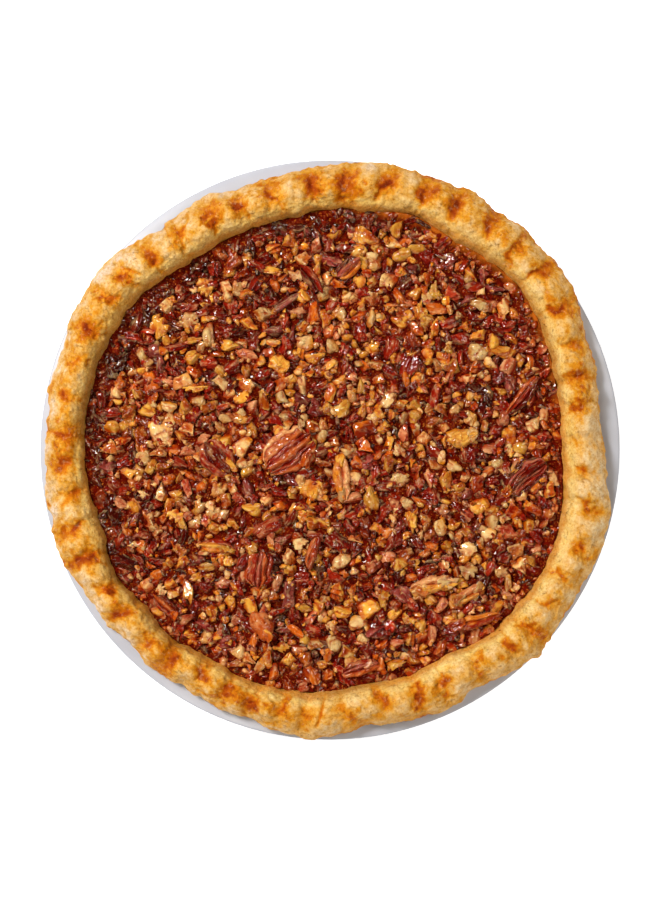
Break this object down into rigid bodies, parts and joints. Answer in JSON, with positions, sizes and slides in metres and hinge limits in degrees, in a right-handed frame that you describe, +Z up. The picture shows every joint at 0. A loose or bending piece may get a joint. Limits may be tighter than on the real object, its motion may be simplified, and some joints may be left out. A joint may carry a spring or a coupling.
{
  "type": "pecan pie",
  "caption": "Whole pecan pie with a crimped pastry rim and a glossy filling covered with chopped pecans, in a plain white round pie dish.",
  "frame": {"origin": "on the surface that the dish stands on, below the dish's middle", "axes": "+Z up; +X to the pie's right and +Y to its back as the picture, taken from straight above, shows them"},
  "size_m": [0.245, 0.245, 0.048],
  "materials": {
    "dish": "plain white glaze, glossy",
    "crust": "baked pastry, matte to satin, browned in spots",
    "filling": "chopped pecans in caramel custard, wet gloss",
    "pecan_dark": "glazed pecan, glossy",
    "pecan_brown": "glazed pecan, glossy",
    "pecan_golden": "glazed pecan, glossy"
  },
  "bodies": {
    "root": {"dish": "dish", "crust": "crust", "filling": "filling", "pecan_centre": "pecan_brown", "pecan_left_ridged": "pecan_dark", "pecan_middle_strip": "pecan_golden", "pecan_right_ridged": "pecan_dark", "pecan_right_long": "pecan_brown", "pecan_front_right_long": "pecan_brown", "pecan_front_right_pale": "pecan_golden", "pecan_front_right_short": "pecan_golden", "pecan_back_dark": "pecan_dark", "pecan_back_red": "pecan_dark", "pecan_front_left_ridged": "pecan_brown", "pecan_front_long": "pecan_brown", "pecan_front_left_round": "pecan_brown", "pecan_left_golden": "pecan_golden", "pecan_front_left_dark": "pecan_dark", "pecan_front_red": "pecan_dark", "pecan_right_pale": "pecan_golden", "pecan_front_strip": "pecan_dark"}
  },
  "joints": []
}
